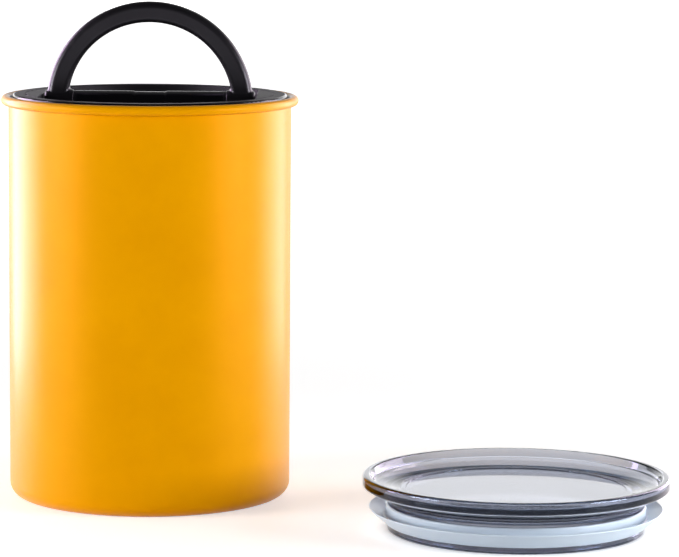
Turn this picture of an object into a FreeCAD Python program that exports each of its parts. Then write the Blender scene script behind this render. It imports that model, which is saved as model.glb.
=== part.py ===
"""Coffee canister: a steel can, a sliding inner lid with a cam valve worked by its handle, and a clear outer lid.

Millimetres, +Z up, origin at the centre of the can's base on the table, the handle's pivot along X.
"""

import FreeCAD
import Part
import math
import os

os.makedirs("parts", exist_ok=True)
Vector = FreeCAD.Vector

# Can
can_radius = 60.3
can_height = 172.4
sheet = 1.0
rim_overhang = 3.15
rim_end_gap = 0.55
base_corner = 6.0
base_ring = 8.0
base_recess = 1.2
base_step = 2.0
step_round = 0.8

# Inner lid, from its lip down to the wall of its cup
lip_rise = 0.6
lip_gap = 0.7
lip_width = 5.6
lip_thick = 2.6
lip_round = 1.2
lip_inner_round = 0.6
cup_wall = 2.4
cup_depth = 14.0
cup_round = 2.0
floor_thick = 2.4
floor_vents = 8
floor_vent_radius = 1.6
floor_vent_circle = 16.0

# Hinge blocks, their caps and the trunnions
pivot_drop = 4.8
block_depth = 7.4
trunnion_radius = 2.5
trunnion_length = 4.0
trunnion_end_gap = 0.4
run_gap = 0.05
cap_gap = 0.15
cap_round = 0.5
peg_spread = 14.0
peg_radius = 1.2
peg_length = 3.0
press_gap = 0.02

# Handle
hub_gap = 0.7
hub_length = 12.3
hub_radius = 6.2
hub_round = 1.6
bail_inset = 0.9
bail_width = 8.8
bail_thick = 7.8
bail_round = 2.8
bail_inner_round = 2.0
bail_root_round = 1.5
bar_radius = 5.9
waist_length = 14.4
waist_drop = 0.4
waist_slope = 1.0

# Cam lobe at the middle of the handle's bar
valve_travel = 2.4
fold_angle = 90.0
cam_width = 12.0
cam_step = 0.1
cam_gap = 0.15
cam_points = 9
nose_radius = 2.0

# Valve, from its cap down to its clip
follower_margin = 0.8
follower_thick = 2.0
follower_round = 0.5
follower_boss_radius = 3.6
follower_boss_length = 2.0
follower_skin = 1.0
stem_radius = 2.6
spigot_radius = 2.0
spigot_past = 0.4
poppet_radius = 10.5
poppet_thick = 1.6
poppet_gap = 0.8
seal_margin = 0.3
seal_thick = 1.4
clip_radius = 4.5
clip_thick = 0.6
clip_slot = 0.9
clip_teeth = 6

# Valve spring in its well
wire = 0.8
spring_radius = 4.4
spring_turns = 3.5
spring_length = 8.5
spring_end_gap = 0.05
well_radius = 9.0
well_wall = 2.0
well_floor = 2.0
guide_radius = 3.6
guide_length = 3.5

# Lower plate with the valve seat
seat_gap = 0.1
seat_radius = 8.3
seat_width = 1.4
tip_clear = 0.3
plate_thick = 2.4
joint_step = 0.5
flange_overhang = 1.8
spigot_ring_gap = 0.1
spigot_ring_wall = 2.0
spigot_ring_height = 4.0
plate_round = 0.8
small_round = 0.3
plate_vents = 6
plate_vent_radius = 1.3
plate_vent_circle = 5.2

# Screws through the lower plate
screw_count = 4
screw_circle = 34.0
screw_radius = 1.5
screw_length = 10.0
screw_head_radius = 2.8
screw_head_height = 1.5
screw_slot = 0.8
screw_slot_depth = 0.7
head_room = 0.3
shank_room = 0.2
boss_radius = 4.2
pad_radius = 5.0
pad_rise = 2.0

# Wiper seal between the cup and the lower plate
wiper_gap = 0.3
wiper_hub = 1.55
wiper_height = 6.5
wiper_fit = 0.05
wiper_root = 1.4
wiper_root_inset = 0.9
wiper_tip = 0.8
wiper_flare = 0.6
ledge_gap = 0.1
ledge_height = 1.5

# Outer lid, lying on the table
lid_x = 154.7
lid_y = -72.9
flange_inset = 0.15
flange_z = 17.9
flange_thick = 4.7
flange_round = 1.1
flange_under_round = 1.3
rim_land = 3.1
rim_wall = 1.9
rim_drop = 3.4
rim_foot_round = 1.5
plug_inset = 6.3
plug_height = 13.0
skirt_wall = 4.8
panel_inset = 5.1
panel_z = 17.0
panel_thick = 2.6
panel_land = 2.6
panel_step = 0.3
dish_round = 4.0
plug_round = 2.5
lid_round = 0.5

# Gasket in the outer lid's groove
groove_z = 2.7
groove_height = 8.0
groove_depth = 2.4
gasket_gap = 0.05
gasket_bulge = 0.6
gasket_reach = 1.3
gasket_tip_drop = 1.1
gasket_root = 1.6
gasket_tip = 0.8

# Can and inner lid, worked out
can_bore = can_radius - sheet
rim_radius = can_radius + rim_overhang
curl = (rim_radius - can_bore) / 2
lip_z = can_height + lip_rise
lip_radius = can_bore - lip_gap
cup_radius = lip_radius - lip_width
wall_radius = cup_radius + cup_wall
flange_edge = wall_radius + flange_overhang
floor_z = lip_z - cup_depth
floor_under = floor_z - floor_thick

# Hinge, worked out
pivot_z = lip_z - pivot_drop
pivot = Vector(0, 0, pivot_z)
chord_x = cup_radius - block_depth
hub_end = chord_x - hub_gap
bail_radius = hub_end - bail_inset
bearing_end = chord_x + trunnion_length + trunnion_end_gap
bearing_radius = trunnion_radius + run_gap

# Valve levels with the handle up, worked out from the cam down
neck_radius = bar_radius - waist_drop
cam_rest = neck_radius + cam_step
cam_rate = valve_travel / math.radians(fold_angle)
follower_radius = waist_length / 2 - follower_margin
follower_top = pivot_z - cam_rest - cam_gap
follower_under = follower_top - follower_thick
well_z = follower_under - spring_length
well_under = well_z - well_floor
poppet_top = well_under - poppet_gap
poppet_under = poppet_top - poppet_thick
seal_under = poppet_under - seal_thick
clip_under = seal_under - clip_thick
stem_end = clip_under - spigot_past
seat_z = seal_under - valve_travel - seat_gap
plate_z = stem_end - valve_travel - tip_clear
plate_under = plate_z - plate_thick
joint_z = plate_z + joint_step
pad_z = plate_z + pad_rise
wiper_top = joint_z + wiper_height
ledge_z = wiper_top + ledge_gap
head_z = plate_under + screw_head_height + head_room

# Outer lid, worked out
flange_radius = rim_radius - flange_inset
plug_radius = can_bore - plug_inset
panel_radius = plug_radius - panel_inset
groove_radius = plug_radius - groove_depth
groove_top = groove_z + groove_height


def rounded_face(corners):
    """Face in the XZ plane through corners (x, z, rounding), each rounded corner a tangent arc."""
    spots = [Vector(x, 0, z) for x, z, _ in corners]
    arcs = []
    for i, (_, _, rounding) in enumerate(corners):
        spot = spots[i]
        if not rounding:
            arcs.append((spot, None, spot))
            continue
        back = (spots[i - 1] - spot).normalize()
        ahead = (spots[(i + 1) % len(spots)] - spot).normalize()
        half = back.getAngle(ahead) / 2
        reach = rounding / math.tan(half)
        inward = (back + ahead).normalize() * (rounding / math.sin(half) - rounding)
        arcs.append((spot + back * reach, spot + inward, spot + ahead * reach))
    edges = []
    for i, (start, middle, end) in enumerate(arcs):
        before = arcs[i - 1][2]
        if before.distanceToPoint(start) > Part.Precision.confusion() * 10:
            edges.append(Part.makeLine(before, start))
        if middle:
            edges.append(Part.Arc(start, middle, end).toShape())
    return Part.Face(Part.Wire(edges))


def turned(corners):
    """Solid of revolution about Z from corners (radius, height, rounding)."""
    return rounded_face(corners).revolve(Vector(0, 0, 0), Vector(0, 0, 1), 360)


def rod(radius, low, high, x=0.0, y=0.0):
    """Upright cylinder from one height to another."""
    return Part.makeCylinder(radius, high - low, Vector(x, y, low))


def ring_spots(count, radius, first_angle=0.0):
    """Evenly spaced (x, y) spots on a circle."""
    angles = [math.radians(first_angle + 360 * i / count) for i in range(count)]
    return [(radius * math.cos(a), radius * math.sin(a)) for a in angles]


def save(node, shape):
    """Write one node's STEP file."""
    shape.exportStep(f"parts/{node}.step")


def canister_body():
    """Drawn can: recessed base panel, standing ring, straight wall and a rim rolled outward into an open curl."""
    ring_inner = can_radius - base_corner - base_ring
    panel_edge = ring_inner - base_step
    curl_low = can_height - 2 * curl
    curl_end = can_radius + rim_end_gap
    return turned([
        (0, base_recess, 0),
        (panel_edge, base_recess, step_round),
        (ring_inner, 0, step_round),
        (can_radius, 0, base_corner),
        (can_radius, can_height - sheet, curl - sheet),
        (rim_radius - sheet, can_height - sheet, curl - sheet),
        (rim_radius - sheet, curl_low + sheet, curl - sheet),
        (curl_end, curl_low + sheet, 0),
        (curl_end, curl_low, 0),
        (rim_radius, curl_low, curl),
        (rim_radius, can_height, curl),
        (can_bore, can_height, curl),
        (can_bore, sheet, base_corner - sheet),
        (ring_inner, sheet, step_round),
        (panel_edge, base_recess + sheet, step_round),
        (0, base_recess + sheet, 0),
    ])


def hinge_segment(radius, low, high):
    """Segment between the chord face and a round wall, on the right side."""
    slab = Part.makeBox(radius, 2 * radius, high - low, Vector(chord_x, -radius, low))
    return rod(radius, low, high).common(slab)


def bearing():
    """Bore of the right trunnion's bearing, along X."""
    start = Vector(chord_x - hub_gap, 0, pivot_z)
    return Part.makeCylinder(bearing_radius, bearing_end - start.x, start, Vector(1, 0, 0))


def peg_spots():
    """Places of the two pegs under the right hinge cap, midway between chord face and wall."""
    wall_x = math.sqrt(cup_radius ** 2 - peg_spread ** 2)
    return [((chord_x + wall_x) / 2, side * peg_spread) for side in (-1, 1)]


def plunger_cup():
    """Upper moulding of the inner lid: lip, cup, hinge blocks, valve well, skirt and screw bosses."""
    bore = stem_radius + run_gap
    cup = turned([
        (bore, well_under, 0),
        (well_radius + well_wall, well_under, plate_round),
        (well_radius + well_wall, floor_under, small_round),
        (cup_radius, floor_under, small_round),
        (cup_radius, joint_z, 0),
        (wall_radius, joint_z, 0),
        (wall_radius, ledge_z, 0),
        (flange_edge, ledge_z, small_round),
        (flange_edge, ledge_z + ledge_height, small_round),
        (wall_radius, ledge_z + ledge_height, small_round),
        (wall_radius, lip_z - lip_thick, small_round),
        (lip_radius, lip_z - lip_thick, small_round),
        (lip_radius, lip_z, lip_round),
        (cup_radius, lip_z, lip_inner_round),
        (cup_radius, floor_z, cup_round),
        (well_radius, floor_z, plate_round),
        (well_radius, well_z, small_round),
        (guide_radius, well_z, small_round),
        (guide_radius, well_z + guide_length, small_round),
        (bore, well_z + guide_length, 0),
    ])
    block = hinge_segment((cup_radius + wall_radius) / 2, floor_under, pivot_z).cut(bearing())
    for x, y in peg_spots():
        block = block.cut(rod(peg_radius + press_gap, pivot_z - 2 * peg_length, pivot_z, x, y))
    cup = cup.fuse([block, block.mirror(Vector(0, 0, 0), Vector(1, 0, 0))])
    hole = screw_radius + press_gap
    hole_end = head_z + screw_length + head_room
    spots = ring_spots(screw_count, screw_circle, 180 / screw_count)
    cup = cup.fuse([rod(boss_radius, pad_z, floor_z - floor_thick / 2, x, y) for x, y in spots])
    cup = cup.cut([rod(hole, pad_z, hole_end, x, y) for x, y in spots])
    vents = ring_spots(floor_vents, floor_vent_circle)
    cup = cup.cut([rod(floor_vent_radius, floor_under, floor_z, x, y) for x, y in vents])
    return cup.removeSplitter()


def hinge_cap():
    """Right hinge cap: a segment at lip level with the upper half of the bearing and two press pegs."""
    cap = hinge_segment(cup_radius - cap_gap, pivot_z, lip_z)
    top_edges = [e for e in cap.Edges if e.BoundBox.ZMin > lip_z - cap_round]
    cap = cap.makeFillet(cap_round, top_edges).cut(bearing())
    pegs = [rod(peg_radius, pivot_z - peg_length, pivot_z + cap_round, x, y) for x, y in peg_spots()]
    return cap.fuse(pegs).removeSplitter()


def handle_axle():
    """Turned bar along X with a hub and a trunnion at each end and a shallow waist in the middle."""
    tip = chord_x + trunnion_length
    waist = waist_length / 2
    right = [
        (waist - waist_slope, neck_radius, 0),
        (waist, bar_radius, 0),
        (hub_end - hub_length, bar_radius, 0),
        (hub_end - hub_length, hub_radius, small_round),
        (hub_end, hub_radius, hub_round),
        (hub_end, trunnion_radius, small_round),
        (tip, trunnion_radius, small_round),
        (tip, 0, 0),
    ]
    left = [(-x, radius, rounding) for x, radius, rounding in reversed(right)]
    axle = rounded_face(left + right).revolve(Vector(0, 0, 0), Vector(1, 0, 0), 360)
    return axle.translate(pivot)


def bail():
    """Semicircular grip: a rounded section swept half a turn about the pivot centre."""
    inner = bail_radius - bail_width
    half = bail_thick / 2
    section = rounded_face([
        (inner, -half, bail_inner_round),
        (bail_radius, -half, bail_round),
        (bail_radius, half, bail_round),
        (inner, half, bail_inner_round),
    ])
    section.rotate(Vector(0, 0, 0), Vector(1, 0, 0), 90)
    return section.revolve(Vector(0, 0, 0), Vector(0, -1, 0), 180).translate(pivot)


def cam_lobe():
    """Lobe whose reach grows evenly with the fold angle, so a flat follower moves in step with the handle.

    At fold angle a the lobe touches at reach * (sin a, -cos a) + rate * (cos a, sin a) in Y and Z.
    """
    def touch(angle):
        reach = cam_rest + cam_rate * angle
        y = reach * math.sin(angle) + cam_rate * math.cos(angle)
        z = cam_rate * math.sin(angle) - reach * math.cos(angle)
        return Vector(0, y, z)

    fold = math.radians(fold_angle)
    points = [touch(fold * i / (cam_points - 1)) for i in range(cam_points)]
    flank = Part.BSplineCurve()
    flank.interpolate(Points=points, InitialTangent=Vector(0, 1, 0), FinalTangent=Vector(0, 0, 1))
    nose = points[-1] - Vector(0, nose_radius, 0)
    lean = math.atan2(nose.z, nose.y) + math.acos((cam_rest - nose_radius) / nose.Length)

    def around(centre, radius, angle):
        return centre + Vector(0, radius * math.cos(angle), radius * math.sin(angle))

    centre = Vector(0, 0, 0)
    low = around(centre, cam_rest, -math.pi / 2)
    nose_end = around(nose, nose_radius, lean)
    crown = around(centre, cam_rest, lean)
    outline = [
        Part.makeLine(low, points[0]),
        flank.toShape(),
        Part.Arc(points[-1], around(nose, nose_radius, lean / 2), nose_end).toShape(),
        Part.makeLine(nose_end, crown),
        Part.Arc(crown, around(centre, cam_rest, math.pi), low).toShape(),
    ]
    lobe = Part.Face(Part.Wire(outline)).extrude(Vector(cam_width, 0, 0))
    return lobe.translate(pivot - Vector(cam_width / 2, 0, 0))


def handle():
    """One moulding: grip, axle bar and cam lobe, with the grip's roots rounded into the hubs."""
    grip = handle_axle().fuse(bail()).removeSplitter()

    def at_root(edge):
        box = edge.BoundBox
        on_hub = hub_end - hub_length < abs(box.Center.x) < hub_end
        between = box.ZMin > pivot_z + trunnion_radius and box.ZMax < pivot_z + hub_radius + run_gap
        return on_hub and between and max(abs(box.YMin), abs(box.YMax)) > run_gap

    grip = grip.makeFillet(bail_root_round, [edge for edge in grip.Edges if at_root(edge)])
    return grip.fuse(cam_lobe()).removeSplitter()


def valve_cap():
    """Flat follower with a boss that takes the top of the stem."""
    bore = stem_radius + press_gap
    boss_end = follower_under - follower_boss_length
    return turned([
        (0, follower_top - follower_skin, 0),
        (bore, follower_top - follower_skin, 0),
        (bore, boss_end, 0),
        (follower_boss_radius, boss_end, small_round),
        (follower_boss_radius, follower_under, small_round),
        (follower_radius, follower_under, small_round),
        (follower_radius, follower_top, follower_round),
        (0, follower_top, 0),
    ])


def valve_stem():
    """Stepped stem: its shoulder sits on the disc and its spigot passes through disc, seal and clip."""
    return turned([
        (0, stem_end, 0),
        (spigot_radius, stem_end, small_round),
        (spigot_radius, poppet_top, 0),
        (stem_radius, poppet_top, 0),
        (stem_radius, follower_top - follower_skin - press_gap, small_round),
        (0, follower_top - follower_skin - press_gap, 0),
    ])


def valve_poppet():
    """Disc that backs the seal."""
    bore = spigot_radius + press_gap
    return turned([
        (bore, poppet_under, 0),
        (poppet_radius, poppet_under, small_round),
        (poppet_radius, poppet_top, small_round),
        (bore, poppet_top, 0),
    ])


def valve_seal():
    """Soft washer under the disc."""
    bore = spigot_radius + press_gap
    edge = poppet_radius - seal_margin
    return turned([
        (bore, seal_under, 0),
        (edge, seal_under, small_round),
        (edge, poppet_under, small_round),
        (bore, poppet_under, 0),
    ])


def valve_clip():
    """Push-on washer with slots that leave teeth round its bore."""
    bore = spigot_radius + press_gap
    clip = rod(clip_radius, clip_under, seal_under).cut(rod(bore, clip_under, seal_under))
    slot_end = (bore + clip_radius) / 2
    slot = Part.makeBox(slot_end, clip_slot, clip_thick, Vector(0, -clip_slot / 2, clip_under))
    for i in range(clip_teeth):
        turn = slot.copy()
        turn.rotate(Vector(0, 0, 0), Vector(0, 0, 1), 360 * i / clip_teeth)
        clip = clip.cut(turn)
    return clip


def valve_spring():
    """Open compression spring: a round wire swept along quarter turn biarcs of a helix."""
    low = well_z + spring_end_gap + wire / 2
    rise = spring_length - 2 * spring_end_gap - wire
    steps = round(4 * spring_turns)
    whole = 2 * math.pi * spring_turns

    def place(share):
        angle = whole * share
        x = spring_radius * math.cos(angle)
        return Vector(x, spring_radius * math.sin(angle), low + rise * share)

    def heading(share):
        angle = whole * share
        x = -spring_radius * math.sin(angle)
        return Vector(x, spring_radius * math.cos(angle), rise / whole).normalize()

    def arc(start, corner, end):
        chord = (start + end) / 2
        turn = math.acos(start.distanceToPoint(end) / 2 / start.distanceToPoint(corner))
        middle = chord + (corner - chord) * (math.tan(turn / 2) / math.tan(turn))
        return Part.Arc(start, middle, end).toShape()

    edges = []
    for i in range(steps):
        start, end = place(i / steps), place((i + 1) / steps)
        leave, arrive = heading(i / steps), heading((i + 1) / steps)
        span = end - start
        along = span.dot(leave + arrive)
        bend = 2 - 2 * leave.dot(arrive)
        reach = (math.sqrt(along ** 2 + bend * span.dot(span)) - along) / bend
        first, second = start + leave * reach, end - arrive * reach
        joint = (first + second) / 2
        edges += [arc(start, first, joint), arc(joint, second, end)]
    path = Part.Wire(edges)
    section = Part.Wire(Part.makeCircle(wire / 2, place(0), heading(0)))
    pitch_points = round(steps / spring_turns)
    turn_gaps = [
        place(i / steps).distanceToPoint(place(j / steps)) - wire
        for i in range(steps + 1)
        for j in range(i + pitch_points // 2, steps + 1)
    ]
    print(f"valve_spring least gap to itself {min(turn_gaps):.2f} mm")
    return path.makePipeShell([section], True, False)


def plunger_base():
    """Lower plate: flange under the seal, locating ring, raised valve seat, vents and screw seats."""
    ring_outer = cup_radius - spigot_ring_gap
    ring_inner = ring_outer - spigot_ring_wall
    ring_top = joint_z + spigot_ring_height
    plate = turned([
        (0, plate_under, 0),
        (flange_edge, plate_under, plate_round),
        (flange_edge, joint_z, small_round),
        (ring_outer, joint_z, 0),
        (ring_outer, ring_top, small_round),
        (ring_inner, ring_top, small_round),
        (ring_inner, plate_z, small_round),
        (seat_radius + seat_width / 2, plate_z, small_round),
        (seat_radius + seat_width / 2, seat_z, small_round),
        (seat_radius - seat_width / 2, seat_z, small_round),
        (seat_radius - seat_width / 2, plate_z, small_round),
        (0, plate_z, 0),
    ])
    spots = ring_spots(screw_count, screw_circle, 180 / screw_count)
    plate = plate.fuse([rod(pad_radius, plate_under + plate_thick / 2, pad_z, x, y) for x, y in spots])
    plate = plate.cut([rod(screw_radius + shank_room, plate_under, pad_z, x, y) for x, y in spots])
    plate = plate.cut([rod(screw_head_radius + head_room, plate_under, head_z, x, y) for x, y in spots])
    vents = ring_spots(plate_vents, plate_vent_circle)
    return plate.cut([rod(plate_vent_radius, plate_under, plate_z, x, y) for x, y in vents])


def base_screws():
    """Round-headed screws with a crossed slot, driven up from below."""
    head_under = head_z - screw_head_height
    screw = turned([
        (0, head_under, 0),
        (screw_head_radius, head_under, screw_slot_depth),
        (screw_head_radius, head_z, 0),
        (screw_radius, head_z, 0),
        (screw_radius, head_z + screw_length, small_round),
        (0, head_z + screw_length, 0),
    ])
    slot = Part.makeBox(2 * screw_radius, screw_slot, screw_slot_depth)
    slot.translate(Vector(-screw_radius, -screw_slot / 2, head_under))
    cross = slot.copy()
    cross.rotate(Vector(0, 0, 0), Vector(0, 0, 1), 90)
    screw = screw.cut([slot, cross])
    spots = ring_spots(screw_count, screw_circle, 180 / screw_count)
    return Part.makeCompound([screw.translated(Vector(x, y, 0)) for x, y in spots])


def wiper_seal():
    """Ring with an upper and a lower lip that flare to the can wall."""
    inner = wall_radius + wiper_fit
    outer = inner + wiper_hub
    edge = can_bore - wiper_gap
    low, high = joint_z, wiper_top
    return turned([
        (inner, low, 0),
        (outer, low, small_round),
        (outer, low + wiper_root_inset, small_round),
        (edge, low - wiper_flare, small_round),
        (edge, low - wiper_flare + wiper_tip, small_round),
        (outer, low + wiper_root_inset + wiper_root, small_round),
        (outer, high - wiper_root_inset - wiper_root, small_round),
        (edge, high + wiper_flare - wiper_tip, small_round),
        (edge, high + wiper_flare, small_round),
        (outer, high - wiper_root_inset, small_round),
        (outer, high, small_round),
        (inner, high, 0),
    ])


def lid_shell():
    """Clear outer lid: sunk panel, slope up to a raised rim bead, thick flange and a hollow plug with a groove."""
    skirt_inner = plug_radius - skirt_wall
    flange_top = flange_z + flange_thick
    rim_inner = flange_radius - rim_land
    recess_radius = panel_radius - panel_land
    shell = turned([
        (0, panel_z - panel_thick, 0),
        (skirt_inner, panel_z - panel_thick, lid_round),
        (skirt_inner, 0, lid_round),
        (plug_radius, 0, lid_round),
        (plug_radius, groove_z, small_round),
        (groove_radius, groove_z, 0),
        (groove_radius, groove_top, 0),
        (plug_radius, groove_top, small_round),
        (plug_radius, plug_height, plug_round),
        (flange_radius, flange_z, flange_under_round),
        (flange_radius, flange_top, flange_round),
        (rim_inner, flange_top, flange_round),
        (rim_inner - rim_wall, flange_top - rim_drop, rim_foot_round),
        (panel_radius, panel_z, dish_round),
        (recess_radius, panel_z, 0),
        (recess_radius, panel_z - panel_step, 0),
        (0, panel_z - panel_step, 0),
    ])
    return shell.translate(Vector(lid_x, lid_y, 0))


def lid_gasket():
    """Soft ring in the groove with one long lip that flares outward and up."""
    inner = groove_radius + gasket_gap
    face = plug_radius + gasket_bulge
    low, high = groove_z + gasket_gap, groove_top - gasket_gap
    edge = can_bore + gasket_reach
    tip = high - gasket_tip_drop
    gasket = turned([
        (inner, low, 0),
        (face, low, gasket_bulge),
        (edge, tip - gasket_tip, small_round),
        (edge, tip, small_round),
        (face, low + gasket_root + gasket_tip, gasket_bulge),
        (face, high, gasket_bulge),
        (inner, high, 0),
    ])
    return gasket.translate(Vector(lid_x, lid_y, 0))


save("canister_body", canister_body())
save("plunger_cup", plunger_cup())
right_cap = hinge_cap()
save("hinge_cap_right", right_cap)
save("hinge_cap_left", right_cap.mirror(Vector(0, 0, 0), Vector(1, 0, 0)))
save("handle", handle())
save("valve_cap", valve_cap())
save("valve_stem", valve_stem())
save("valve_poppet", valve_poppet())
save("valve_seal", valve_seal())
save("valve_clip", valve_clip())
save("valve_spring", valve_spring())
save("plunger_base", plunger_base())
save("base_screws", base_screws())
save("wiper_seal", wiper_seal())
save("lid_shell", lid_shell())
save("lid_gasket", lid_gasket())
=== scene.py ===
import math
import bmesh
import bpy
import numpy as np
from mathutils import Matrix, Vector


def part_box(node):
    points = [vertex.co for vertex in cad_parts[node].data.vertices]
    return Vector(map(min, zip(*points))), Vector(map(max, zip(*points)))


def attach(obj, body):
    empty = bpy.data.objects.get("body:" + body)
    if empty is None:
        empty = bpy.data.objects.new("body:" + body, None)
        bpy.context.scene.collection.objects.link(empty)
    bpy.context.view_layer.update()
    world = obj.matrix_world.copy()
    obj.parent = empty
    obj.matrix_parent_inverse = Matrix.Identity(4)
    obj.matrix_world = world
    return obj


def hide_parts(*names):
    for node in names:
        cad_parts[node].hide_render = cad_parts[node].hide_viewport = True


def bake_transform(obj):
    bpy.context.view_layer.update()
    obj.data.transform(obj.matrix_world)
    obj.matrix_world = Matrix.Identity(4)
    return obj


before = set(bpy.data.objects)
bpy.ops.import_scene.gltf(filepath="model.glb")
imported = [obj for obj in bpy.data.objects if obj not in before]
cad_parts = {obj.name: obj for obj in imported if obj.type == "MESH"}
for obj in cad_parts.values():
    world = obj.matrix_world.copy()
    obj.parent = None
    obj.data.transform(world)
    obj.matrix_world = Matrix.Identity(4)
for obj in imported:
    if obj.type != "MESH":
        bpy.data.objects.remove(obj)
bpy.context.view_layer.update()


# Can
# Drawn from one sheet of steel, powder coated yellow outside and left bare inside.
# Its rim is rolled outward into an open curl, and its base panel is pushed up inside a standing ring.

rim_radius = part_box("canister_body")[1].x
can_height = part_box("canister_body")[1].z
sheet = 0.0010
rim_overhang = 0.00315
rim_end_gap = 0.00055
base_corner = 0.0060
base_ring = 0.0080
base_recess = 0.0012
base_step = 0.0020
step_round = 0.0008
can_radius = rim_radius - rim_overhang
can_bore = can_radius - sheet
curl = (rim_radius - can_bore) / 2
coat_overlap = curl / 3
same_point = 1e-7
sharp_edge = math.radians(40)


def rounded_outline(corners, steps=8, support=0.0004):
    """Outline through corners (radius, height, rounding), each rounded corner an arc.

    The arc turns from one tangent point to the next about the centre on the corner's bisector,
    and a support point on each straight side keeps the shading of flat walls flat.
    An outline that starts on the axis keeps both its ends there.
    """
    table = np.array(corners, float)
    spot, rounding = table[:, :2], table[:, 2:]
    on_axis = table[0, 0] == 0
    back = np.roll(spot, 1, 0) - spot
    ahead = np.roll(spot, -1, 0) - spot
    reach_back = np.linalg.norm(back, axis=1, keepdims=True)
    reach_ahead = np.linalg.norm(ahead, axis=1, keepdims=True)
    back, ahead = back / reach_back, ahead / reach_ahead
    half = np.arccos(np.clip((back * ahead).sum(1, keepdims=True), -1, 1)) / 2
    tangent = rounding / np.tan(half)
    bisector = (back + ahead) / np.linalg.norm(back + ahead, axis=1, keepdims=True)
    centre = spot + bisector * rounding / np.sin(half)
    start = (spot + back * tangent - centre)[:, None]
    end = (spot + ahead * tangent - centre)[:, None]
    sweep = (np.pi - 2 * half)[:, None]
    share = np.linspace(0, 1, steps)[None, :, None]
    swing = np.sin((1 - share) * sweep) * start + np.sin(share * sweep) * end
    arc = centre[:, None] + swing / np.sin(sweep)
    free_back = reach_back - tangent - np.roll(tangent, 1, 0)
    free_ahead = reach_ahead - tangent - np.roll(tangent, -1, 0)
    before = spot + back * (tangent + np.minimum(support, free_back / 3))
    after = spot + ahead * (tangent + np.minimum(support, free_ahead / 3))
    points = np.concatenate([before[:, None], arc, after[:, None]], 1)
    if on_axis:
        points[0], points[-1] = spot[0], spot[-1]
    points = points.reshape(-1, 2)
    kept = np.linalg.norm(np.diff(points, axis=0, append=points[:1]), axis=1) > same_point
    if on_axis:
        kept[-1] = True
    return points[kept]


def closed_piece(name, points, faces, second=None):
    """Object at the origin from points and faces, with doubles merged and normals outward.

    It is shaded smooth but for its sharp edges. Faces marked in second take the second material.
    """
    mesh = bpy.data.meshes.new(name)
    mesh.from_pydata(points, [], faces)
    if second is not None:
        mesh.polygons.foreach_set("material_index", second.astype(np.int32))
    work = bmesh.new()
    work.from_mesh(mesh)
    bmesh.ops.remove_doubles(work, verts=work.verts, dist=same_point)
    bmesh.ops.recalc_face_normals(work, faces=work.faces)
    work.to_mesh(mesh)
    work.free()
    mesh.polygons.foreach_set("use_smooth", np.ones(len(mesh.polygons), bool))
    mesh.set_sharp_from_angle(angle=sharp_edge)
    piece = bpy.data.objects.new(name, mesh)
    bpy.context.scene.collection.objects.link(piece)
    return piece


def ring_faces(rows, count, around):
    """Four-sided faces between rings of points: each row joins the next, and each ring its own start."""
    i, j = np.meshgrid(rows, np.arange(around), indexing="ij")
    up, on = (i + 1) % count, (j + 1) % around
    faces = [i * around + j, i * around + on, up * around + on, up * around + j]
    return np.stack(faces, -1).reshape(-1, 4)


def turned_piece(name, outline, turns=240, place=(0.0, 0.0), inner_from=None):
    """Surface of revolution: outline point (r, z) at angle a goes to (r cos a, r sin a, z) from its place.

    An outline that starts on the axis stays open and its poles are merged; any other closes on itself.
    Faces from outline point inner_from on take the second material.
    """
    count = len(outline)
    angle = np.linspace(0, 2 * np.pi, turns, endpoint=False)
    ring = np.stack([np.cos(angle), np.sin(angle), np.zeros(turns)], 1)
    points = outline[:, None, :1] * ring[None] + outline[:, None, 1:] * np.array([0.0, 0.0, 1.0])
    points = points + np.array([*place, 0.0])
    rows = np.arange(count if outline[0, 0] else count - 1)
    second = None if inner_from is None else np.repeat(rows >= inner_from, turns)
    return closed_piece(name, points.reshape(-1, 3), ring_faces(rows, count, turns), second)


def node_maker(tree):
    """A maker of nodes for one tree: it gives a node its settings, then its values, then its links."""

    def node(kind, links=None, values=None, **settings):
        made = tree.nodes.new("ShaderNode" + kind)
        for key, value in settings.items():
            setattr(made, key, value)
        for key, value in (values or {}).items():
            made.inputs[key].default_value = value
        for key, source in (links or {}).items():
            tree.links.new(source, made.inputs[key])
        return made

    return node


def new_material(name):
    """A fresh material with its main shader, a maker of nodes and a maker of links to the shader."""
    material = bpy.data.materials.new(name)
    material.use_nodes = True
    tree = material.node_tree
    shader = tree.nodes["Principled BSDF"]

    def link(source, socket):
        tree.links.new(source, shader.inputs[socket])

    return material, shader, node_maker(tree), link


def set_sockets(shader, values):
    """Sets plain values on a shader's own sockets."""
    for socket, value in values.items():
        shader.inputs[socket].default_value = value


noise_span = (0.3, 0.7)
grain_height = 0.00002


def noise(node, here, scale, detail):
    """Cloudy pattern of values about one half, most of them within noise_span."""
    return node("TexNoise", {"Vector": here}, {"Scale": scale, "Detail": detail}).outputs["Fac"]


def slope(node, value, reach=(0.0, 1.0), result=(0.0, 1.0)):
    """Straight line between two results over a reach of the value, level before and after it."""
    limits = {"From Min": reach[0], "From Max": reach[1], "To Min": result[0], "To Max": result[1]}
    return node("MapRange", {"Value": value}, limits).outputs["Result"]


def two_tones(node, pattern, tones, span=(0.0, 1.0)):
    """Colour that goes from the first tone to the second across a span of the pattern's values."""
    ramp = node("ValToRGB", {"Fac": pattern})
    for stop, position, tone in zip(ramp.color_ramp.elements, span, tones):
        stop.position, stop.color = position, (*tone, 1)
    return ramp.outputs["Color"]


def raised(node, pattern, strength):
    """Bump that lifts the surface by the height of a fine grain where the pattern is high."""
    return node("Bump", {"Height": pattern}, {"Strength": strength, "Distance": grain_height})


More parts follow.
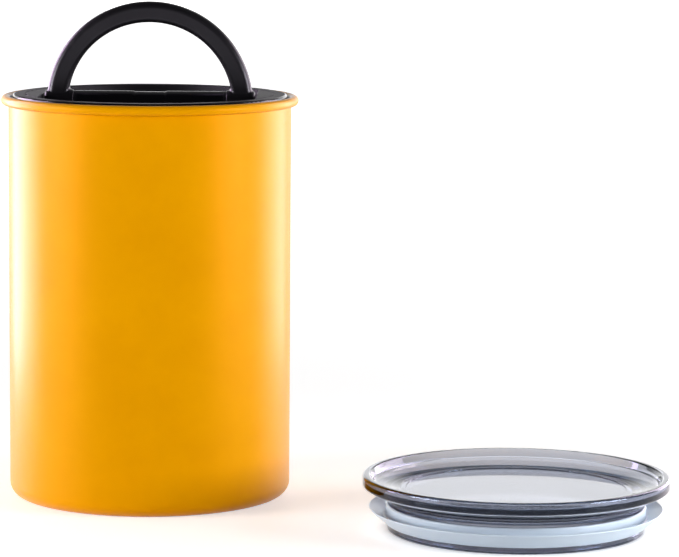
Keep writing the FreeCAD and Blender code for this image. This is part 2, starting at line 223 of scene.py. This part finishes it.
def speckle(node, link, tones, roughness, grain, bump):
    """Fine moulded or sprayed surface from two noises.

    The broad one shifts the colour a little, and the fine one shifts the gloss and raises a grain.
    """
    here = node("TexCoord").outputs["Object"]
    broad = noise(node, here, scale=45.0, detail=3.0)
    fine = noise(node, here, scale=grain, detail=2.0)
    link(two_tones(node, broad, tones, noise_span), "Base Color")
    link(slope(node, fine, noise_span, roughness), "Roughness")
    link(raised(node, fine, bump).outputs["Normal"], "Normal")


def powder_coat():
    """Satin powder coat: an even amber yellow with the faint orange peel of melted powder."""
    material, shader, node, link = new_material("powder_coat")
    amber = ((0.83, 0.345, 0.0), (0.87, 0.37, 0.0))
    speckle(node, link, amber, roughness=(0.29, 0.35), grain=900.0, bump=0.12)
    set_sockets(shader, {"IOR": 1.5, "Specular IOR Level": 0.3, "Specular Tint": (1.0, 0.2, 0.0, 1)})
    return material


def bare_steel():
    """Drawn steel with fine lines round the wall, from a noise squeezed together along the height."""
    material, shader, node, link = new_material("bare_steel")
    here = node("TexCoord").outputs["Object"]
    squeezed = node("Mapping", {"Vector": here}, {"Scale": (40.0, 40.0, 2600.0)}).outputs["Vector"]
    lines = noise(node, squeezed, scale=1.0, detail=4.0)
    link(two_tones(node, lines, ((0.42, 0.42, 0.43), (0.6, 0.6, 0.6))), "Base Color")
    link(slope(node, lines, result=(0.42, 0.6)), "Roughness")
    link(raised(node, lines, strength=0.15).outputs["Normal"], "Normal")
    set_sockets(shader, {"Metallic": 1.0})
    return material


ring_inner = can_radius - base_corner - base_ring
panel_edge = ring_inner - base_step
curl_low = can_height - 2 * curl
can_outline = rounded_outline([
    (0, base_recess, 0),
    (panel_edge, base_recess, step_round),
    (ring_inner, 0, step_round),
    (can_radius, 0, base_corner),
    (can_radius, can_height - sheet, curl - sheet),
    (rim_radius - sheet, can_height - sheet, curl - sheet),
    (rim_radius - sheet, curl_low + sheet, curl - sheet),
    (can_radius + rim_end_gap, curl_low + sheet, 0),
    (can_radius + rim_end_gap, curl_low, 0),
    (rim_radius, curl_low, curl),
    (rim_radius, can_height, curl),
    (can_bore, can_height, curl),
    (can_bore, sheet, base_corner - sheet),
    (ring_inner, sheet, step_round),
    (panel_edge, base_recess + sheet, step_round),
    (0, base_recess + sheet, 0),
])
rim_top = int(np.argmax(can_outline[:, 1]))
coat_edge = rim_top + int(np.argmax(can_outline[rim_top:, 0] < can_bore + coat_overlap))
can = turned_piece("can", can_outline, turns=300, inner_from=coat_edge)
can.data.materials.append(powder_coat())
can.data.materials.append(bare_steel())
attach(can, "canister")
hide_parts("canister_body")


# Inner lid
# Two black mouldings, a cup with a flat lip and a lower plate with the valve seat under it.
# The lip and the outside have a fine spark grain, and the cup's inside and the lip's edge are polished.
# Four steel screws hold the plate from below.

cup_mouth = 0.0532
cup_centre = (0, 0, 0)
far_past_ends = 9.0
lip_edge = 0.0019
lip_flat = can_bore - lip_edge
edge_fade = 0.0004
dull_grain = (0.5, 0.6)
dull_shine = 0.3


def combine(node, operation, first, second):
    """One sum on two values of a material."""
    return node("Math", {0: first, 1: second}, operation=operation).outputs["Value"]


def measure(node, operation, here, by=(0, 0, 0)):
    """One sum on a place and a vector; a length or a distance comes out as a number."""
    made = node("VectorMath", {0: here}, {1: by}, operation=operation)
    return made.outputs["Value" if operation in ("LENGTH", "DISTANCE") else "Vector"]


def black_plastic(name, grain, shine, polished=None, rim=None):
    """Black moulding with a fine spark grain, polished inside an ellipsoid of given centre and half sizes.

    A point's reach is the length of (here - centre) / half sizes, and the grain fades in up to reach 1.
    Past the radius rim about the upright axis the moulding is polished again.
    """
    material, shader, node, link = new_material(name)
    here = node("TexCoord").outputs["Object"]
    broad = noise(node, here, scale=60.0, detail=3.0)
    fine = noise(node, here, scale=2200.0, detail=2.0)
    colour = two_tones(node, broad, ((0.0050, 0.0046, 0.0058), (0.0075, 0.0070, 0.0086)), noise_span)
    rough = slope(node, fine, noise_span, grain)
    spark_strength = 0.2
    spark = raised(node, fine, spark_strength)
    if polished:
        centre, half_sizes = polished
        offset = measure(node, "SUBTRACT", here, centre)
        reach = measure(node, "LENGTH", measure(node, "DIVIDE", offset, half_sizes))
        grained = slope(node, reach, (0.97, 1.0))
        if rim:
            radius = measure(node, "LENGTH", measure(node, "MULTIPLY", here, (1, 1, 0)))
            inside = slope(node, radius, (rim, rim + edge_fade), (1.0, 0.0))
            grained = combine(node, "MULTIPLY", grained, inside)
        deep_black = (0.003, 0.003, 0.004, 1)
        polish = 0.16
        colour = node("Mix", {"Factor": grained, "B": colour}, {"A": deep_black}, data_type="RGBA")
        colour = colour.outputs["Result"]
        rough = node("Mix", {"Factor": grained, "B": rough}, {"A": polish}).outputs["Result"]
        depth = slope(node, grained, result=(0.0, spark_strength))
        material.node_tree.links.new(depth, spark.inputs["Strength"])
    link(colour, "Base Color")
    link(rough, "Roughness")
    link(spark.outputs["Normal"], "Normal")
    set_sockets(shader, {"IOR": 1.49, "Specular IOR Level": shine, "Specular Tint": (0.92, 0.86, 1.0, 1)})
    return material


def dress(material, *nodes):
    """Puts one finish on every material slot of the named nodes."""
    for name in nodes:
        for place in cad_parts[name].material_slots:
            place.material = material


# The cup's polish is so tall an ellipsoid that it stands as a plain cylinder there.
cup_inside = (cup_centre, (cup_mouth, cup_mouth, far_past_ends))
cup_black = black_plastic("cup_black", dull_grain, dull_shine, polished=cup_inside, rim=lip_flat)
dress(cup_black, "plunger_cup", "plunger_base")
turned_steel = bare_steel()
dress(turned_steel, "base_screws")


# Wiper seal
# Pale silicone ring with two lips, one up and one down, moulded in one.
# It is stretched over the cup and held between it and the lower plate.
# Its lips wipe the can's wall and hold the inner lid where it is pushed.

wiper_low, wiper_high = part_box("wiper_seal")
wiper_edge = wiper_high.x
wiper_flare = 0.0006
wiper_tip = 0.0008
wiper_root = 0.0014
wiper_inset = 0.0009
wiper_hub = 0.00155
wiper_inner = 0.05545
wiper_outer = wiper_inner + wiper_hub
skin_round = 0.0003


def silicone():
    """Milky silicone: pale blue and satin smooth, and a little light passes through."""
    material, shader, node, link = new_material("silicone")
    pale_blue = ((0.74, 0.86, 0.98), (0.78, 0.88, 1.0))
    speckle(node, link, pale_blue, roughness=(0.28, 0.33), grain=300.0, bump=0.0)
    set_sockets(shader, {"Transmission Weight": 0.15, "IOR": 1.41})
    return material


milky = silicone()
wiper = turned_piece("wiper_ring", rounded_outline([
    (wiper_inner, wiper_low.z + wiper_flare, skin_round),
    (wiper_outer, wiper_low.z + wiper_flare, skin_round),
    (wiper_outer, wiper_low.z + wiper_flare + wiper_inset, skin_round),
    (wiper_edge, wiper_low.z, skin_round),
    (wiper_edge, wiper_low.z + wiper_tip, skin_round),
    (wiper_outer, wiper_low.z + wiper_flare + wiper_inset + wiper_root, skin_round),
    (wiper_outer, wiper_high.z - wiper_flare - wiper_inset - wiper_root, skin_round),
    (wiper_edge, wiper_high.z - wiper_tip, skin_round),
    (wiper_edge, wiper_high.z, skin_round),
    (wiper_outer, wiper_high.z - wiper_flare - wiper_inset, skin_round),
    (wiper_outer, wiper_high.z - wiper_flare, skin_round),
    (wiper_inner, wiper_high.z - wiper_flare, skin_round),
], steps=5))
wiper.data.materials.append(milky)
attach(wiper, "plunger")
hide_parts("wiper_seal")


# Valve
# A black follower cap, stem and disc that slide as one in the cup's guide bore.
# A silicone washer under the disc closes the seat, and a push-on steel clip holds it.
# A coiled steel wire spring in the cup lifts the valve, and is pressed together as it goes down.

washer_low, washer_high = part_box("valve_seal")
washer_bore = 0.00205
bore_round = 0.0001
spring_low, spring_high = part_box("valve_spring")
wire = 0.0008
spring_turns = 3.5
coil_low, coil_high = spring_low.z + wire / 2, spring_high.z - wire / 2


def coiled_wire(name, radius, wire, turns, low, high, steps=40, sides=12):
    """Round wire on a helix: at angle a its centre is (R cos a, R sin a), climbing evenly from low to high.

    Each ring of the wire lies across the helix's heading there, and a disc closes each end.
    """
    count = round(steps * turns) + 1
    share = np.linspace(0, 1, count)[:, None]
    angle = 2 * np.pi * turns * share
    level = np.zeros((count, 1))
    climb = level + (high - low) / (2 * np.pi * turns)
    outward = np.hstack([np.cos(angle), np.sin(angle), level])
    heading = np.hstack([-radius * np.sin(angle), radius * np.cos(angle), climb])
    across = np.cross(heading / np.linalg.norm(heading, axis=1, keepdims=True), outward)
    centre = radius * outward + np.hstack([level, level, low + (high - low) * share])
    turn = np.linspace(0, 2 * np.pi, sides, endpoint=False)[None, :, None]
    rings = np.cos(turn) * outward[:, None] + np.sin(turn) * across[:, None]
    points = centre[:, None] + wire / 2 * rings
    walls = ring_faces(np.arange(count - 1), count, sides)
    ends = [list(range(sides)), list(range((count - 1) * sides, count * sides))]
    return closed_piece(name, points.reshape(-1, 3), walls.tolist() + ends)


valve_black = black_plastic("valve_black", grain=(0.3, 0.4), shine=0.5)
dress(valve_black, "valve_cap", "valve_stem", "valve_poppet")
dress(turned_steel, "valve_clip")
washer = turned_piece("valve_washer", rounded_outline([
    (washer_bore, washer_low.z, bore_round),
    (washer_high.x, washer_low.z, skin_round),
    (washer_high.x, washer_high.z, skin_round),
    (washer_bore, washer_high.z, bore_round),
], steps=5), turns=120)
washer.data.materials.append(milky)
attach(washer, "valve")
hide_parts("valve_seal")

spring = coiled_wire("coil_spring", spring_high.x - wire / 2, wire, spring_turns, coil_low, coil_high)
spring.data.materials.append(turned_steel)
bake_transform(spring)
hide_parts("valve_spring")


# Handle and hinge caps
# One black moulding, a round-edged bow on a thick bar whose ends turn in the cup.
# It is grained on the bow and polished on the bar.
# Two caps pressed into the cup at lip level close its bearings.

pivot = (0.0, 0.0, 0.1682)
bar_half_sizes = (0.036, 0.0125, 0.0125)
bar = (pivot, bar_half_sizes)
handle_black = black_plastic("handle_black", grain=(0.28, 0.36), shine=0.44, polished=bar)
dress(handle_black, "handle")
cap_black = black_plastic("cap_black", dull_grain, dull_shine)
dress(cap_black, "hinge_cap_left", "hinge_cap_right")


# Outer lid
# One smoke-tinted clear moulding: a sunk panel, a slope up to a raised rim bead, a thick flange,
# and a hollow plug whose groove holds the gasket above a foot ring.

lid_low, lid_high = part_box("lid_shell")
lid_place = ((lid_low.x + lid_high.x) / 2, (lid_low.y + lid_high.y) / 2)
plug_gap = 0.0063
plug_radius = can_bore - plug_gap
skirt_wall = 0.0048
skirt_inner = plug_radius - skirt_wall
foot_round = 0.0005
groove_z = 0.0027
groove_top = 0.0107
groove_depth = 0.0024
groove_radius = plug_radius - groove_depth
groove_round = 0.0003
neck_z = 0.0130
neck_round = 0.0025
flange_radius = (lid_high.x - lid_low.x) / 2
flange_z = 0.0179
flange_top = lid_high.z
flange_round = 0.0013
rim_width = 0.0031
rim_inner = flange_radius - rim_width
rim_round = 0.0011
rim_slope = 0.0019
rim_foot = rim_inner - rim_slope
rim_height = 0.0034
rim_foot_round = 0.0015
panel_inset = 0.0051
panel_radius = plug_radius - panel_inset
panel_z = 0.0170
panel_thick = 0.0026
panel_round = 0.004
recess_inset = 0.0026
recess_radius = panel_radius - recess_inset
recess_depth = 0.0003
recess_z = panel_z - recess_depth
recess_round = 0.0001


def smoke_plastic():
    """Clear moulding with a grey-blue tint: the longer the way through it, the darker it looks."""
    material, shader, node, link = new_material("smoke_plastic")
    here = node("TexCoord").outputs["Object"]
    haze = noise(node, here, scale=120.0, detail=3.0)
    link(slope(node, haze, result=(0.02, 0.06)), "Roughness")
    set_sockets(shader, {
        "Base Color": (0.88, 0.90, 0.94, 1),
        "Transmission Weight": 1.0,
        "IOR": 1.5,
        "Specular Tint": (0.62, 0.72, 1.0, 1),
    })
    tint = node("VolumeAbsorption", values={"Color": (0.38, 0.41, 0.50, 1), "Density": 230.0})
    tree = material.node_tree
    tree.links.new(tint.outputs["Volume"], tree.nodes["Material Output"].inputs["Volume"])
    return material


lid = turned_piece("lid_moulding", rounded_outline([
    (0, panel_z - panel_thick, 0),
    (skirt_inner, panel_z - panel_thick, foot_round),
    (skirt_inner, 0, foot_round),
    (plug_radius, 0, foot_round),
    (plug_radius, groove_z, groove_round),
    (groove_radius, groove_z, 0),
    (groove_radius, groove_top, 0),
    (plug_radius, groove_top, groove_round),
    (plug_radius, neck_z, neck_round),
    (flange_radius, flange_z, flange_round),
    (flange_radius, flange_top, rim_round),
    (rim_inner, flange_top, rim_round),
    (rim_foot, flange_top - rim_height, rim_foot_round),
    (panel_radius, panel_z, panel_round),
    (recess_radius, panel_z, recess_round),
    (recess_radius, recess_z, recess_round),
    (0, recess_z, 0),
]), place=lid_place)
lid.data.materials.append(smoke_plastic())
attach(lid, "outer_lid")
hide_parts("lid_shell")


# Lid gasket
# A ring of the same silicone with one long lip, stretched into the outer lid's groove.
# The lip bends against the can's wall when the lid is put on.

gasket_low, gasket_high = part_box("lid_gasket")
gasket_edge = (gasket_high.x - gasket_low.x) / 2
groove_fit = 0.00005
gasket_inner = groove_radius + groove_fit
bulge = 0.0006
gasket_outer = plug_radius + bulge
lip_drop = 0.0011
lip_tip = 0.0008
lip_root = 0.0024
lip_top = gasket_high.z - lip_drop
gasket = turned_piece("lid_gasket_ring", rounded_outline([
    (gasket_inner, gasket_low.z, 0),
    (gasket_outer, gasket_low.z, bulge),
    (gasket_edge, lip_top - lip_tip, skin_round),
    (gasket_edge, lip_top, skin_round),
    (gasket_outer, gasket_low.z + lip_root, bulge),
    (gasket_outer, gasket_high.z, bulge),
    (gasket_inner, gasket_high.z, 0),
]), place=lid_place)
gasket.data.materials.append(milky)
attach(gasket, "outer_lid")
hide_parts("lid_gasket")


# Floor
# A plain white table top. It glows only for what looks at it, straight, in a gloss or through the lid,
# so that it passes into the white background while no more light falls on the object.
# Under the outer lid the glow is left out in a soft ring, a painted shadow, about a paler middle that is a
# painted pool of light.

floor_half = 4.0
glow_reach = (0.3, 1.2)
glow_strength = (0.55, 1.0)
# Painted shadow: no glow in a soft ring under the outer lid; painted pool of light: part of the glow comes
# back in its middle.
painted_shadow_fade = (0.047, 0.06)
painted_pool_fade = (0.028, 0.042)
painted_pool_strength = 0.6

floor_mesh = bpy.data.meshes.new("floor")
floor_corners = [(floor_half * x, floor_half * y, 0) for x, y in ((-1, -1), (1, -1), (1, 1), (-1, 1))]
floor_mesh.from_pydata(floor_corners, [], [(0, 1, 2, 3)])
floor = bpy.data.objects.new("floor", floor_mesh)
bpy.context.scene.collection.objects.link(floor)
floor_paint, shader, node, link = new_material("white_table")
set_sockets(shader, {"Base Color": (0.92, 0.92, 0.92, 1), "Roughness": 0.6, "Emission Color": (1, 1, 1, 1)})
rays = node("LightPath").outputs
looked_at = combine(node, "MAXIMUM", rays["Is Camera Ray"], rays["Is Transmission Ray"])
looked_at = combine(node, "MAXIMUM", looked_at, rays["Is Glossy Ray"])
here = node("TexCoord").outputs["Object"]
far = slope(node, measure(node, "LENGTH", here), glow_reach, glow_strength)
from_lid = measure(node, "DISTANCE", here, (*lid_place, 0))
# Painted shadow under the outer lid, and a painted pool of light in its middle.
outside_painted_shadow = slope(node, from_lid, painted_shadow_fade)
painted_light_pool = slope(node, from_lid, painted_pool_fade, (painted_pool_strength, 0.0))
glow_with_painted_shade = combine(node, "MULTIPLY", far, combine(node, "ADD", outside_painted_shadow, painted_light_pool))
link(combine(node, "MULTIPLY", glow_with_painted_shade, looked_at), "Emission Strength")
floor_mesh.materials.append(floor_paint)


# Light
# A white tent, bright low down behind the object, darker overhead and darkest on the camera's side.
# Two soft boxes in front light the object, and two strips beside the can show only in its gloss.

back_reach = (-0.1, 0.6)
back_strength = (0.12, 2.05)
height_reach = (0.14, 0.38)
height_share = (1.0, 0.1)

world = bpy.data.worlds.new("studio")
world.use_nodes = True
bpy.context.scene.world = world
tent = world.node_tree
sky = tent.nodes["Background"]
node = node_maker(tent)
toward = node("SeparateXYZ", {"Vector": node("TexCoord").outputs["Generated"]}).outputs
front_to_back = slope(node, toward["Y"], back_reach, back_strength)
low_to_high = slope(node, toward["Z"], height_reach, height_share)
shade = combine(node, "MULTIPLY", front_to_back, low_to_high)
backdrop = combine(node, "MAXIMUM", shade, node("LightPath").outputs["Is Camera Ray"])
tent.links.new(backdrop, sky.inputs["Strength"])
set_sockets(sky, {"Color": (1, 1, 1, 1)})


def soft_lamp(name, place, aim, size, power, colour=(1, 1, 1), only_glint=False):
    """Area lamp facing a point; one that is only a glint shows in gloss and lights no surface."""
    lamp = bpy.data.lights.new(name, "AREA")
    lamp.shape, lamp.size, lamp.size_y = "RECTANGLE", *size
    lamp.energy, lamp.color = power, colour
    shown = bpy.data.objects.new(name, lamp)
    shown.location = place
    shown.rotation_euler = (Vector(aim) - Vector(place)).to_track_quat("-Z", "Y").to_euler()
    shown.visible_camera = False
    shown.visible_diffuse = not only_glint
    bpy.context.scene.collection.objects.link(shown)


box_size = (0.5, 0.44)
soft_lamp("left_box", (-1.0, -0.41, 0.27), aim=(0, 0, 0.16), size=box_size, power=11.1)
soft_lamp("right_box", (1.05, -0.41, 0.27), aim=(0.03, 0, 0.16), size=box_size, power=11.6)
strip_size = (0.3, 0.44)
strip_aim = (0, 0, 0.22)
soft_lamp("left_strip", (-0.36, 0.165, 0.22), strip_aim, strip_size, power=4.0,
          colour=(1.0, 0.77, 1.05), only_glint=True)
soft_lamp("right_strip", (0.40, 0.225, 0.22), strip_aim, strip_size, power=2.2,
          colour=(1.0, 0.85, 0.97), only_glint=True)


# Camera
# Far off with a long lens, looking a little down at the can and the outer lid.
# Its place and angles were worked out from the ellipses of the can's rim and base and of the lid.

eye_place = Vector((0.0821, -1.4768, 0.2849))
pitch, yaw, roll = math.radians(7.37), math.radians(-0.027), math.radians(-0.412)
ahead = Vector((math.sin(yaw) * math.cos(pitch), math.cos(yaw) * math.cos(pitch), -math.sin(pitch)))
level = Vector((math.cos(yaw), -math.sin(yaw), 0.0))
down = ahead.cross(level)
right = level * math.cos(roll) + down * math.sin(roll)
up = level * math.sin(roll) - down * math.cos(roll)
view = Matrix((right, up, -ahead)).transposed().to_4x4()
view.translation = eye_place
camera = bpy.data.objects.new("camera", bpy.data.cameras.new("camera"))
camera.data.sensor_width = 36.0
camera.data.lens = 183.69
camera.data.clip_end = 50.0
camera.matrix_world = view
bpy.context.scene.collection.objects.link(camera)
bpy.context.scene.camera = camera
bpy.context.scene.view_settings.view_transform = "Standard"
